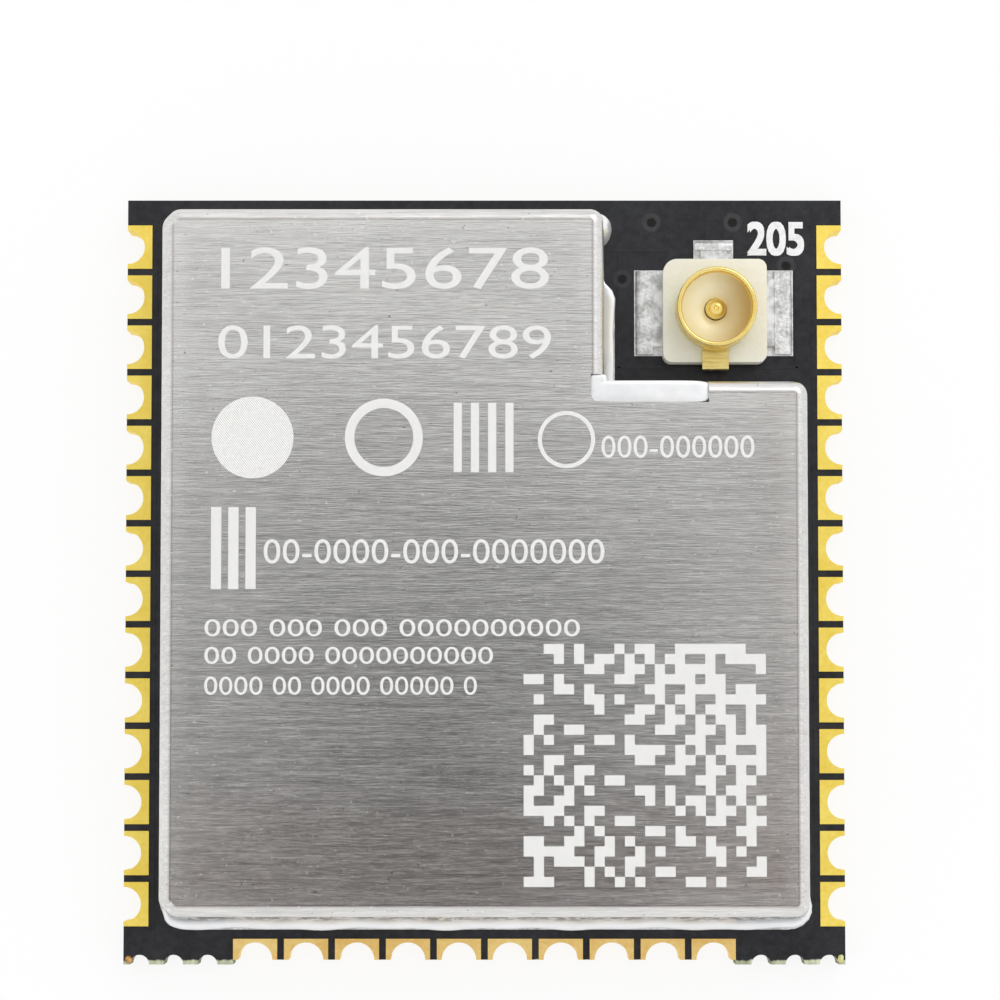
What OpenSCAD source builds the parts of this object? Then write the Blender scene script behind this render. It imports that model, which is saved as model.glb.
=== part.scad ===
// Castellated wireless module: a small circuit board with plated half-hole pads on three edges, a folded
// L-shaped screening can over its chips, and a coaxial aerial receptacle in the corner that the can leaves
// free. Millimetres, +Z up. The origin is under the middle of the board, on the plane of its solder lands.

/* [Board] */
// Width of the board across its two long pad rows
board_w = 18; // [17.4:0.1:20]
// Length of the board over its break-off nubs
board_l = 19.2; // [18.8:0.1:22]
// Thickness of the laminate with its solder mask
board_t = 0.8; // [0.6:0.1:1.6]
// Thickness of each copper land with its plating
copper_t = 0.035; // [0.02:0.005:0.07]
// Radius of the break-off holes at the two lower corners
bite_r = 0.24; // [0.16:0.02:0.3]
// Distance from one break-off hole to the next
bite_pitch = 0.85; // [0.75:0.05:1]
// Distance from the board's side to the first break-off hole
bite_inset = 0.4; // [0.35:0.05:0.5]
// How far the broken nubs stand out of the routed edge
nub_h = 0.12; // [0.06:0.02:0.2]
// Radius of the dimples that the solder mask leaves over vias
via_r = 0.12; // [0.08:0.01:0.15]
// Depth of those dimples
via_dip = 0.04; // [0.02:0.01:0.06]

/* [Edge pads] */
// Distance from one edge pad to the next
pad_pitch = 1.27; // [1.2:0.01:1.5]
// Width of a pad along the board's edge
pad_w = 1.1; // [1:0.01:1.15]
// Radius of the plated half hole in each pad
half_hole_r = 0.43; // [0.3:0.01:0.48]
// Thickness of the plating in the half hole
barrel_t = 0.03; // [0.02:0.01:0.05]
// Length of a side pad's top land, in from the edge
side_land = 0.62; // [0.5:0.01:0.8]
// Length of a lower pad's top land, in from the edge
end_land = 0.52; // [0.5:0.01:0.7]
// Length of every pad's land on the underside
under_land = 0.9; // [0.6:0.05:1.2]
// Distance from the board's middle up to the middle of each side row
row_shift = 0.155; // [0:0.005:0.2]
// Least distance from the board's ends to the end pads of a centred side row
row_end = 1.2; // [1:0.05:1.6]
// Least distance from the board's sides to the lower row's end pads
row_side = 3.2; // [2.8:0.1:4]

/* [Ground pad] */
// Side of each square in the ground pad's grid
tile_w = 1.33; // [0.9:0.01:1.5]
// Distance from one square to the next
tile_pitch = 1.835; // [1.6:0.005:2]
// Squares along each side of the grid
tile_n = 3; // [2:1:4]
// Corner cut from the square beside the first pin
tile_cut = 0.5; // [0.2:0.1:0.6]

/* [Screening can] */
// Thickness of the sheet metal
sheet_t = 0.2; // [0.12:0.01:0.25]
// Outside radius of the bend from lid to wall
bend_r = 0.28; // [0.26:0.01:0.4]
// Radius of the flat lid's own corners, inside the bends
lid_corner_r = 0.05; // [0.03:0.01:0.15]
// Length of the slanted corners on the can's left side
clip = 0.12; // [0.06:0.01:0.3]
// Gap between the side pads and the can's walls
can_side_gap = 0.48; // [0.35:0.01:0.8]
// Gap between the lower pads and the can's wall
can_end_gap = 0.66; // [0.5:0.01:1]
// Gap between the board's upper end and the can's wall
can_top_gap = 0.6; // [0.4:0.05:1]
// Width of the corner that the can leaves free for the receptacle
notch_w = 4.97; // [4.8:0.01:5.4]
// Length of that corner
notch_l = 4.25; // [4.1:0.01:5]
// Clear height between the tallest part inside and the lid
head_gap = 0.28; // [0.1:0.01:0.5]
// Length along the lower wall of the slot that relieves the bends beside the inner corner
relief_l = 2.55; // [2:0.05:3]
// How far the slot runs past the lower wall's bend line into the lid
relief_in = 0.25; // [0.05:0.01:0.4]
// How far the slot runs past the left wall's bend line into the lid
relief_side = 0.05; // [0.02:0.01:0.1]
// How far the slot runs up the left wall's bend, past the lower wall
relief_up = 0.16; // [0.1:0.01:0.3]
// Radius of the slot's inner corner
relief_r = 0.22; // [0.1:0.01:0.3]
// Width of the solder fillet along most of the can's walls
bead_narrow = 0.2; // [0.1:0.01:0.25]
// Width of the solder fillet along the can's lower wall and round its ends
bead_wide = 0.42; // [0.3:0.01:0.48]
// Width of the solder fillet on the wall to the left of the receptacle
bead_notch = 0.34; // [0.2:0.01:0.4]
// Length of that fillet
bead_notch_l = 2.55; // [2:0.01:3.2]
// Radius of the solder blob at the can's upper inner corner
blob_r = 0.4; // [0.3:0.01:0.5]
// How far the blob stands out of the wall
blob_out = 0.2; // [0.1:0.01:0.25]

/* [Aerial receptacle] */
// Side of the moulded housing
housing_w = 2.6; // [2.5:0.05:2.9]
// Height of the moulded housing
housing_h = 0.5; // [0.4:0.05:0.6]
// Radius of three of the housing's corners
housing_r = 0.22; // [0.1:0.01:0.3]
// Radius of the corner that marks its turn
housing_key_r = 0.36; // [0.3:0.01:0.45]
// Outside radius of the ring that the plug snaps over
ring_r = 1; // [0.95:0.01:1.05]
// Wall of the ring
ring_t = 0.12; // [0.1:0.01:0.16]
// Height of the ring's rim above the lands
ring_h = 1.25; // [1.15:0.05:1.5]
// Depth of the snap groove round the ring
groove_d = 0.05; // [0.03:0.01:0.06]
// How much wider the ring's foot is, where the moulding grips it
foot_flare = 0.06; // [0.03:0.01:0.08]
// Gap between the ring and the moulding's floor inside it
floor_gap = 0.04; // [0.03:0.01:0.08]
// Thickness of the contacts' sheet metal
contact_t = 0.1; // [0.08:0.01:0.12]
// Width of each ground tab
tab_w = 1.7; // [1.4:0.1:1.8]
// How far each ground tab stands out of the housing
tab_out = 0.23; // [0.15:0.01:0.3]
// Width of the strip from the ring over the housing
strip_w = 0.66; // [0.5:0.01:0.8]
// How far that strip stands out of the housing
strip_out = 0.19; // [0.16:0.01:0.25]
// Gap between the dished floor and the pin
dish_gap = 0.02; // [0.02:0.01:0.08]
// Radius of the centre pin
pin_r = 0.26; // [0.2:0.01:0.28]
// How far the pin's tip lies under the rim
pin_drop = 0.25; // [0.15:0.01:0.35]
// Width of the signal contact's tail
tail_w = 0.65; // [0.5:0.01:0.7]
// How far the tail stands out of the housing
tail_out = 0.28; // [0.2:0.01:0.35]
// Length of each ground land across the housing's side
ground_land_l = 2.17; // [1.9:0.01:2.3]
// How far each ground land reaches past the housing
ground_land_out = 0.7; // [0.5:0.01:0.75]
// Width of the signal land
signal_land_w = 1; // [0.8:0.01:1.2]
// How far the signal land reaches past the housing
signal_land_out = 0.55; // [0.45:0.01:0.7]
// How far each land reaches under the housing
land_under = 0.2; // [0.1:0.01:0.25]
// Distance from the notch's lower wall to the receptacle's middle
socket_gap = 1.98; // [1.9:0.01:2.3]
// Distance of the receptacle's middle right of the middle between can and side pads
socket_shift = 0.12; // [0:0.01:0.2]

/* [Parts inside] */
// Side of the main chip
chip_w = 5; // [4:0.5:5.5]
// Height of the main chip
chip_h = 0.85; // [0.7:0.05:1]
// Distance from one chip terminal to the next
terminal_pitch = 0.35; // [0.35:0.05:0.5]
// Width of a chip terminal
terminal_w = 0.18; // [0.14:0.01:0.22]
// Length of a chip terminal
terminal_l = 0.35; // [0.3:0.01:0.4]
// Side of the chip's ground paddle
paddle_w = 3.6; // [2.6:0.1:3.7]
// Width of the memory chip's body across its leads
flash_w = 5.23; // [4.8:0.05:5.4]
// Length of the memory chip's body along its leads
flash_l = 5.28; // [4.8:0.05:5.4]
// Height of the memory chip's body
flash_h = 1.75; // [1.4:0.05:1.8]
// Height of the memory chip's body above its lands
flash_lift = 0.1; // [0.05:0.01:0.2]
// Span over the memory chip's leads
flash_span = 7.9; // [7.6:0.05:8.1]
// Distance from one lead to the next
lead_pitch = 1.27; // [1.2:0.01:1.3]
// Width of a lead
lead_w = 0.42; // [0.35:0.01:0.5]
// Thickness of a lead
lead_t = 0.2; // [0.15:0.01:0.25]
// Length of the crystal's ceramic base
crystal_l = 3.2; // [2.5:0.1:3.4]
// Width of the crystal's ceramic base
crystal_w = 2.5; // [2:0.1:2.6]
// Height of the crystal's ceramic base
crystal_h = 0.5; // [0.4:0.05:0.6]
// Length of each of the crystal's plated pads
crystal_pad_l = 0.95; // [0.7:0.05:1.1]
// Width of each of those pads
crystal_pad_w = 0.85; // [0.6:0.05:0.9]
// Thickness of the crystal's plated pads
crystal_pad_t = 0.03; // [0.02:0.01:0.05]
// Thickness of the crystal's metal lid
crystal_lid_t = 0.15; // [0.1:0.01:0.2]
// Rim of ceramic left bare round the crystal's lid
crystal_rim = 0.15; // [0.1:0.01:0.25]
// Length of a resistor, capacitor or inductor
chip_part_l = 1; // [0.9:0.01:1.05]
// Width of a resistor, capacitor or inductor
chip_part_w = 0.5; // [0.4:0.01:0.55]
// Height of a capacitor
capacitor_h = 0.5; // [0.4:0.01:0.55]
// Height of an inductor
inductor_h = 0.42; // [0.35:0.01:0.5]
// Height of a resistor
resistor_h = 0.32; // [0.28:0.01:0.4]
// Length of each metal end on those parts
end_l = 0.24; // [0.15:0.01:0.3]
// Thickness of the metal on those ends
end_t = 0.02; // [0.01:0.005:0.03]
// Distance from one such part to the next in a row
part_pitch = 1.35; // [1.3:0.01:1.5]
// Distance from a chip's edge to the middle of the row beside it
part_lane = 0.85; // [0.8:0.01:1]

/* [Hidden] */
$fn = 64;
// A small excess, so that cutting shapes pass through what they cut
over = 0.5;

// Heights: the deck is the board's upper face, and parts are seated on the lands on it
deck_z = copper_t + board_t;
seat_z = deck_z + copper_t;
tallest = max(flash_lift + flash_h, chip_h, crystal_h + crystal_lid_t, capacitor_h);
can_top = seat_z + tallest + head_gap + sheet_t;
bend_z = can_top - bend_r;

// The board's edges, and how many pads each edge has room for
side_x = board_w / 2;
upper_y = board_l / 2;
lower_y = nub_h - board_l / 2;
side_count = floor((board_l - 2 * row_end) / pad_pitch) + 1;
end_count = floor((board_w - 2 * row_side) / pad_pitch) + 1;
end_row_x = (end_count - 1) / 2 * pad_pitch;
stub_l = side_x - end_row_x - pad_w / 2;
bite_count = floor((stub_l - bite_inset - bite_r) / bite_pitch) + 1;

// The polygon through the centres of the lid's corners; the bends begin lid_corner_r outside it
rim = lid_corner_r + bend_r;
lid_r = side_x - side_land - can_side_gap - rim;
lid_l = -lid_r;
lid_t = upper_y - can_top_gap - rim;
lid_b = lower_y + end_land + can_end_gap + rim;
lid_v = lid_r - notch_w;
lid_n = lid_t - notch_l;
lid = [[lid_l + clip, lid_b], [lid_r, lid_b], [lid_r, lid_n], [lid_v, lid_n],
    [lid_v, lid_t], [lid_l + clip, lid_t], [lid_l, lid_t - clip], [lid_l, lid_b + clip]];
// Edge 2 is the notch's lower wall and edge 3 its left wall, and they meet at corner 3
notch_corner = 3;
// Solder fillet on each edge of the can, in the order of its corners
bead = [bead_wide, bead_narrow, bead_narrow, bead_notch, bead_narrow, bead_narrow, bead_narrow, bead_wide];
function corner_bead(i) = i == next(notch_corner) ? bead_narrow : max(bead[i], bead[before(i)]);
// A narrow fillet starts just past the end of the wide one round the corner
function beside_wide(i, other) = bead[i] == bead_narrow && bead[other] == bead_wide ? bead_wide + bead_lip : 0;
// Solder land inside the can's outer face, which takes the wall and a little more
land_margin = 0.05;
land_in = sheet_t + land_margin;
// Height of a fillet for each unit of its width, its edge thickness and its hollow
bead_rise = 1.5;
bead_lip = 0.03;
bead_sag = 0.12;
// The relief slot is cut down to just under the bends, and solder fills it to just under the lid's face
relief_z = bend_z - 0.05;
fill_top = can_top - 0.06;
// Rounding of the blob's top
blob_round = 0.16;

// The aerial receptacle's middle
notch_x = lid_v + rim;
notch_y = lid_n + rim;
socket_x = (notch_x + side_x - side_land) / 2 + socket_shift;
socket_y = notch_y + socket_gap;
via_spots = [[-1.56, 2.31], [0.49, 2.31], [1.84, 1.21], [-2.3, 0.87]];

// The middle of each large part inside, the round cut in the crystal's corners, and the gap to the can's bends
wall_gap = 0.6;
corner_cut = 0.15;
crystal_x = lid_l + wall_gap + crystal_l / 2;
crystal_y = lid_t - wall_gap - crystal_w / 2;
chip_x = lid_l + 2 * part_lane + chip_part_w + chip_w / 2;
chip_y = crystal_y - crystal_w / 2 - 2 * part_lane - chip_w / 2;
flash_x = lid_r - wall_gap - flash_w / 2;
flash_y = lid_b + wall_gap + flash_span / 2;
rf_x = lid_v - part_lane;
rf_y = lid_n + part_lane + chip_part_l / 2;

// Rows of small parts, each spot as its middle and its turn
function beside(mid, n, away, turn) = [for (k = [0:n - 1])
    let (along = (k - (n - 1) / 2) * part_pitch)
    concat(mid + (turn == 0 ? [along, away] : [away, along]), turn)];
chip_edge = chip_w / 2 + part_lane;
lead_edge = flash_span / 2 + part_lane;
capacitor_spots = concat(
    beside([chip_x, chip_y], 4, -chip_edge, 90),
    beside([chip_x, chip_y], 3, -chip_edge, 0),
    beside([chip_x, chip_y], 3, chip_edge, 0),
    beside([flash_x, flash_y], 1, lead_edge, 0),
    beside([rf_x - part_pitch, rf_y + part_pitch / 2], 2, 0, 90));
resistor_spots = concat(
    beside([chip_x, chip_y], 3, -chip_edge - part_pitch, 0),
    beside([chip_x, chip_y], 3, -chip_edge - 2 * part_pitch, 0));
inductor_spots = concat(
    beside([rf_x, rf_y + part_pitch / 2], 2, 0, 90),
    beside([crystal_x + crystal_l / 2 + part_lane, crystal_y], 1, 0, 90));

// One plated pad at the board's edge, which is the line x = 0, with the board on the side of -X
module edge_pad(land) {
    difference() {
        union() {
            translate([-land, -pad_w / 2, deck_z]) cube([land, pad_w, copper_t]);
            translate([-under_land, -pad_w / 2, 0]) cube([under_land, pad_w, copper_t]);
            intersection() {
                cylinder(r = half_hole_r + barrel_t, h = seat_z);
                translate([-pad_w, -pad_w / 2, 0]) cube([pad_w, pad_w, seat_z]);
            }
        }
        translate([0, 0, -over]) cylinder(r = half_hole_r, h = seat_z + 2 * over);
    }
}

// Places what follows at each pad of one side row: side is 1 on the right and -1 on the left
module at_side_row(side) {
    for (k = [0:side_count - 1])
        translate([side * side_x, row_shift + (k - (side_count - 1) / 2) * pad_pitch, 0])
            rotate(side > 0 ? 0 : 180) children();
}

// Places what follows at each pad of the lower row
module at_end_row() {
    for (k = [0:end_count - 1])
        translate([k * pad_pitch - end_row_x, lower_y, 0]) rotate(-90) children();
}

// The routed outline with its nubs, break-off holes and the holes that the plating lines
module board_outline() {
    difference() {
        union() {
            translate([-side_x, lower_y]) square([board_w, upper_y - lower_y]);
            for (side = [-1, 1])
                translate([side * (side_x - stub_l / 2) - stub_l / 2, -board_l / 2]) square([stub_l, nub_h]);
        }
        for (side = [-1, 1], k = [0:bite_count - 1])
            translate([side * (side_x - bite_inset - k * bite_pitch), -board_l / 2]) circle(bite_r);
        at_side_row(1) circle(half_hole_r + barrel_t);
        at_side_row(-1) circle(half_hole_r + barrel_t);
        at_end_row() circle(half_hole_r + barrel_t);
    }
}

module circuit_board() {
    color([0.13, 0.13, 0.14])
        difference() {
            translate([0, 0, copper_t]) linear_extrude(board_t) board_outline();
            for (spot = via_spots)
                translate([socket_x + spot.x, socket_y + spot.y, deck_z - via_dip]) cylinder(r = via_r, h = over);
        }
}

module left_pads() {
    color("gold") at_side_row(-1) edge_pad(side_land);
}

module right_pads() {
    color("gold") at_side_row(1) edge_pad(side_land);
}

module bottom_pads() {
    color("gold") at_end_row() edge_pad(end_land);
}

// Under the main chip: a grid of squares, the one nearest the first pin with a corner cut off
module ground_pad() {
    grid = (tile_n - 1) / 2 * tile_pitch;
    color("gold")
        translate([chip_x, chip_y, 0])
            difference() {
                for (i = [0:tile_n - 1], j = [0:tile_n - 1])
                    translate([i * tile_pitch - grid - tile_w / 2, j * tile_pitch - grid - tile_w / 2, 0])
                        cube([tile_w, tile_w, copper_t]);
                translate([-grid - tile_w / 2, grid + tile_w / 2, -over])
                    rotate(45) cube([tile_cut * sqrt(2), tile_cut * sqrt(2), 2 * over + copper_t], center = true);
            }
}

// The lid's edge i runs from its corner i to the next one
function next(i) = (i + 1) % len(lid);
function before(i) = (i + len(lid) - 1) % len(lid);
function edge_l(i) = norm(lid[next(i)] - lid[i]);
function heading(i) = atan2(lid[next(i)].y - lid[i].y, lid[next(i)].x - lid[i].x);
function turn(i) = (heading(i) - heading(before(i)) + 360) % 360;

// Sweeps a section, drawn as outwards and upwards from the bend line, along edge i, short of its two ends
module along_edge(i, start = 0, end = 0) {
    translate(lid[i])
        rotate(heading(i) - 90)
            translate([lid_corner_r, edge_l(i) - end, 0])
                rotate([90, 0, 0]) linear_extrude(edge_l(i) - start - end) children();
}

// Turns the same section round corner i
module round_corner(i) {
    translate(lid[i])
        rotate(heading(before(i)) - 90)
            rotate_extrude(angle = turn(i)) translate([lid_corner_r, 0]) children();
}

// The edge and corner sweeps of the whole can: beside the notch two walls meet square, off the bend lines
module along_edges(meet) {
    for (i = [0:len(lid) - 1])
        along_edge(i, i == notch_corner ? meet : 0, next(i) == notch_corner ? meet : 0) children();
}

module round_corners() {
    for (i = [0:len(lid) - 1])
        if (i != notch_corner) round_corner(i) children();
}

// The can's wall with its bend
module sheet_section() {
    translate([0, bend_z])
        intersection() {
            difference() {
                circle(bend_r);
                circle(bend_r - sheet_t);
            }
            square(bend_r);
        }
    translate([bend_r - sheet_t, seat_z]) square([sheet_t, bend_z - seat_z]);
}

// Outline of the slot that relieves the bends beside the notch's corner
module relief_plan() {
    wide = relief_side + bend_r + relief_l;
    high = relief_in + bend_r + relief_up;
    translate([notch_x - bend_r - relief_side, notch_y - bend_r - relief_in]) {
        translate([relief_r, 0]) square([wide - relief_r, high]);
        translate([0, relief_r]) square([wide, high - relief_r]);
        translate([relief_r, relief_r]) circle(relief_r);
    }
}

// The can's outline at a distance outside the polygon of its corners' centres
module outline(out) {
    polygon(lid);
    for (i = [0:len(lid) - 1])
        translate(lid[i]) rotate(heading(i) - 90) square([out, edge_l(i)]);
    for (i = [0:len(lid) - 1])
        if (i != notch_corner) translate(lid[i]) circle(out);
}

module shield_can() {
    color([0.72, 0.72, 0.7])
        difference() {
            union() {
                union() {
                    translate([0, 0, can_top - sheet_t]) linear_extrude(sheet_t) outline(lid_corner_r);
                    along_edges(rim - sheet_t) sheet_section();
                }
                round_corners() sheet_section();
            }
            translate([0, 0, relief_z]) linear_extrude(over + bend_r) relief_plan();
        }
}

// The tinned land under the can's walls, their fillets and the blob
module shield_land() {
    color([0.75, 0.76, 0.76]) {
        for (i = [0:len(lid) - 1])
            if (i != notch_corner)
                along_edge(i, 0, next(i) == notch_corner ? rim - land_in : 0) land_section(bead[i]);
        for (i = [0:len(lid) - 1])
            if (i != notch_corner) round_corner(i) land_section(corner_bead(i));
        along_edge(notch_corner, rim - land_in, edge_l(notch_corner) - rim - bead_notch_l)
            land_section(bead_notch);
        along_edge(notch_corner, rim + bead_notch_l, 0) land_section(land_margin);
        at_bead_ends() rotate_extrude(angle = 90) translate([0, deck_z]) square([$width, copper_t]);
        at_blob(deck_z) cylinder(r = blob_r, h = copper_t);
    }
}

// Places what follows where a wide fillet ends, at the wall's face, turned from outwards to along the wall
module at_bead_ends() {
    translate([lid_r + rim, lid_b, 0]) let ($width = bead_wide) children();
    translate([lid_l - rim, lid_b + clip, 0]) mirror([1, 0, 0]) let ($width = bead_wide) children();
    translate([notch_x, notch_y + bead_notch_l, 0]) let ($width = bead_notch) children();
}

module at_blob(z) {
    translate([notch_x + blob_out - blob_r, lid_t + rim - blob_r - bead_lip, z]) children();
}

module land_section(width) {
    translate([bend_r - land_in, deck_z]) square([land_in + width, copper_t]);
}

// A fillet against the wall: a thin edge at each end, with a hollow arc between
module bead_section(width) {
    rise = bead_rise * width;
    chord = norm([width - bead_lip, rise - bead_lip]);
    sag = bead_sag * chord;
    arc_r = (chord * chord / 4 + sag * sag) / (2 * sag);
    across = [rise - bead_lip, width - bead_lip] / chord;
    mid = [width + bead_lip, rise + bead_lip] / 2;
    translate([bend_r, seat_z])
        difference() {
            polygon([[0, 0], [width, 0], [width, bead_lip], [bead_lip, rise], [0, rise]]);
            translate(mid + across * (arc_r - sag)) circle(arc_r);
        }
}

// Solder: fillets along the walls, the filled relief slot and a blob at the arm's corner
module shield_solder() {
    color([0.86, 0.87, 0.87]) {
        for (i = [0:len(lid) - 1])
            if (i != notch_corner)
                along_edge(i, beside_wide(i, before(i)), next(i) == notch_corner ? rim : beside_wide(i, next(i)))
                    bead_section(bead[i]);
        for (i = [0:len(lid) - 1])
            if (i != notch_corner && i != next(notch_corner))
                round_corner(i) bead_section(corner_bead(i));
        along_edge(notch_corner, rim, edge_l(notch_corner) - rim - bead_notch_l) bead_section(bead_notch);
        at_bead_ends() rotate_extrude(angle = 90) translate([-bend_r, 0]) bead_section($width);
        translate([0, 0, relief_z])
            linear_extrude(fill_top - relief_z)
                intersection() {
                    relief_plan();
                    outline(rim);
                }
        difference() {
            at_blob(seat_z) rotate_extrude() blob_section(relief_z - seat_z);
            translate([0, 0, -over]) linear_extrude(can_top + over) outline(rim);
        }
    }
}

module blob_section(high) {
    square([blob_r - blob_round, high]);
    square([blob_r, high - blob_round]);
    translate([blob_r - blob_round, high - blob_round]) circle(blob_round);
}

// Places what follows at the receptacle's middle, on its lands
module at_socket(z = seat_z) {
    translate([socket_x, socket_y, z]) children();
}

module housing_plan() {
    half = housing_w / 2;
    radii = [housing_r, housing_r, housing_key_r, housing_r];
    difference() {
        square(housing_w, center = true);
        for (k = [0:3])
            rotate(90 * k - 90)
                translate([half - radii[k], half - radii[k]])
                    difference() {
                        square(housing_w);
                        circle(radii[k]);
                    }
    }
}

// The ring's wall as a turned profile: flared foot, rounded snap groove and rounded rim
module ring_profile() {
    rim_r = ring_t / 2;
    groove_r = 2.5 * groove_d;
    difference() {
        union() {
            polygon([[ring_r - ring_t, contact_t], [ring_r + foot_flare, contact_t], [ring_r, housing_h],
                [ring_r, ring_h - rim_r], [ring_r - ring_t, ring_h - rim_r]]);
            translate([ring_r - rim_r, ring_h - rim_r]) circle(rim_r);
        }
        translate([ring_r + groove_r - groove_d, (housing_h + ring_h) / 2]) circle(groove_r);
    }
}

// The dished floor inside the ring
module dish_profile() {
    rim = ring_r - ring_t;
    depth = 0.45;
    dish_r = (rim * rim + depth * depth) / (2 * depth);
    dish_t = 0.08;
    intersection() {
        translate([0, ring_h - 0.18 - depth + dish_r])
            difference() {
                circle(dish_r + dish_t);
                circle(dish_r);
            }
        translate([pin_r + dish_gap, housing_h / 2])
            square([rim - pin_r - dish_gap + ring_t / 2, ring_h - housing_h / 2]);
    }
}

module ground_tabs() {
    reach = housing_w / 2 + tab_out;
    inner = ring_r - ring_t;
    for (side = [-1, 1])
        translate([side * (reach + inner) / 2 - (reach - inner) / 2, -tab_w / 2, 0])
            cube([reach - inner, tab_w, contact_t]);
}

// The strip that lies on the housing and turns down over its lower side
module front_strip() {
    far = housing_w / 2 + strip_out;
    translate([-strip_w / 2, -far, housing_h]) cube([strip_w, far - ring_r + ring_t / 2, contact_t]);
    translate([-strip_w / 2, -far, housing_h / 2]) cube([strip_w, contact_t, housing_h / 2 + contact_t / 2]);
}

module connector_shell() {
    color([0.83, 0.68, 0.3])
        at_socket() {
            rotate_extrude() ring_profile();
            rotate_extrude() dish_profile();
            ground_tabs();
            front_strip();
        }
}

module pin_tail() {
    translate([-tail_w / 2, 0, 0]) cube([tail_w, housing_w / 2 + tail_out, contact_t]);
}

module connector_pin() {
    color([0.85, 0.7, 0.3])
        at_socket() {
            cylinder(r = pin_r, h = ring_h - pin_drop - pin_r);
            translate([0, 0, ring_h - pin_drop - pin_r])
                difference() {
                    sphere(pin_r);
                    translate([0, 0, -pin_r]) cube(2 * pin_r, center = true);
                    translate([0, 0, pin_r + 0.02]) sphere(0.07);
                }
            pin_tail();
        }
}

// The moulding, cut where the ring, the tabs and the signal contact pass through it
module connector_housing() {
    core_h = housing_h / 2;
    color([0.93, 0.91, 0.82])
        at_socket()
            difference() {
                linear_extrude(housing_h) housing_plan();
                translate([0, 0, contact_t])
                    difference() {
                        cylinder(r1 = ring_r + foot_flare, r2 = ring_r, h = housing_h - contact_t);
                        translate([0, 0, -over]) cylinder(r = ring_r - ring_t - floor_gap, h = housing_h);
                    }
                translate([0, 0, core_h]) cylinder(r = ring_r - ring_t, h = housing_h);
                translate([0, 0, -over]) cylinder(r = pin_r, h = housing_h + 2 * over);
                ground_tabs();
                pin_tail();
            }
}

module connector_lands() {
    half = housing_w / 2;
    color([0.75, 0.76, 0.76])
        at_socket(deck_z) {
            for (side = [-1, 1])
                mirror([side < 0 ? 1 : 0, 0, 0])
                    translate([half - land_under, -ground_land_l / 2, 0])
                        cube([land_under + ground_land_out, ground_land_l, copper_t]);
            translate([-signal_land_w / 2, half - land_under, 0])
                cube([signal_land_w, land_under + signal_land_out, copper_t]);
        }
}

// Solder against the ends of the ground tabs and of the signal tail
module connector_solder() {
    tab_end = housing_w / 2 + tab_out;
    tail_end = housing_w / 2 + tail_out;
    color([0.86, 0.87, 0.87])
        at_socket() {
            for (side = [0, 180])
                rotate(side)
                    translate([tab_end, ground_land_l / 2 - bead_lip, 0])
                        rotate([90, 0, 0])
                            linear_extrude(ground_land_l - 2 * bead_lip)
                                pool_section(ground_land_out - tab_out - bead_lip);
            translate([signal_land_w / 2 - bead_lip, tail_end, 0])
                rotate([90, 0, 90])
                    mirror([0, 0, 1])
                        linear_extrude(signal_land_w - 2 * bead_lip)
                            pool_section(signal_land_out - tail_out - bead_lip);
        }
}

// A low pool with a rounded outer edge, a little higher than the contact that it holds
module pool_section(width) {
    high = contact_t + bead_lip;
    square([width - high, high]);
    intersection() {
        translate([width - high, 0]) circle(high);
        square([width, high]);
    }
}

// The terminals and ground paddle in the main chip's underside
module terminal_blocks() {
    metal_t = 0.15;
    count = floor((chip_w - 2 * terminal_l - terminal_w) / terminal_pitch) + 1;
    for (side = [0:90:270], k = [0:count - 1])
        rotate(side)
            translate([(k - (count - 1) / 2) * terminal_pitch - terminal_w / 2, chip_w / 2 - terminal_l, 0])
                cube([terminal_w, terminal_l, metal_t]);
    translate([-paddle_w / 2, -paddle_w / 2, 0]) cube([paddle_w, paddle_w, metal_t]);
}

module main_chip_body() {
    color([0.16, 0.16, 0.17])
        translate([chip_x, chip_y, seat_z])
            difference() {
                translate([-chip_w / 2, -chip_w / 2, 0]) cube([chip_w, chip_w, chip_h]);
                terminal_blocks();
            }
}

module main_chip_terminals() {
    color([0.8, 0.8, 0.78]) translate([chip_x, chip_y, seat_z]) terminal_blocks();
}

// A moulded body's outline from the side: it is widest where the leads come out
module drafted_side(width, draft) {
    half = width / 2;
    polygon([[draft - half, 0], [half - draft, 0], [half, flash_h / 2], [half - draft, flash_h],
        [draft - half, flash_h], [-half, flash_h / 2]]);
}

module flash_body() {
    draft = 0.12;
    dimple_r = 0.35;
    color([0.14, 0.14, 0.15])
        translate([flash_x, flash_y, seat_z + flash_lift])
            difference() {
                intersection() {
                    translate([0, flash_l / 2, 0])
                        rotate([90, 0, 0]) linear_extrude(flash_l) drafted_side(flash_w, draft);
                    translate([-flash_w / 2, 0, 0])
                        rotate([90, 0, 90]) linear_extrude(flash_w) drafted_side(flash_l, draft);
                }
                translate([1.5 * lead_pitch, flash_l / 2 - 2 * dimple_r - draft, flash_h - 0.1])
                    cylinder(r = dimple_r, h = over);
            }
}

// One lead from the side: shoulder, slanted shin and foot
module lead_side() {
    foot = 0.6;
    shoulder = 0.3;
    start = flash_l / 2;
    far = flash_span / 2;
    high = flash_lift + flash_h / 2;
    polygon([[start, high - lead_t / 2], [start + shoulder - lead_t / 2, high - lead_t / 2],
        [far - foot - lead_t / 2, 0], [far, 0], [far, lead_t], [far - foot, lead_t],
        [start + shoulder, high + lead_t / 2], [start, high + lead_t / 2]]);
}

module at_leads() {
    for (side = [0, 180], k = [0:3])
        translate([flash_x, flash_y, 0]) rotate(side) translate([(k - 1.5) * lead_pitch, 0, 0]) children();
}

module flash_leads() {
    color([0.8, 0.8, 0.8])
        at_leads()
            translate([-lead_w / 2, 0, seat_z]) rotate([90, 0, 90]) linear_extrude(lead_w) lead_side();
}

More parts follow.
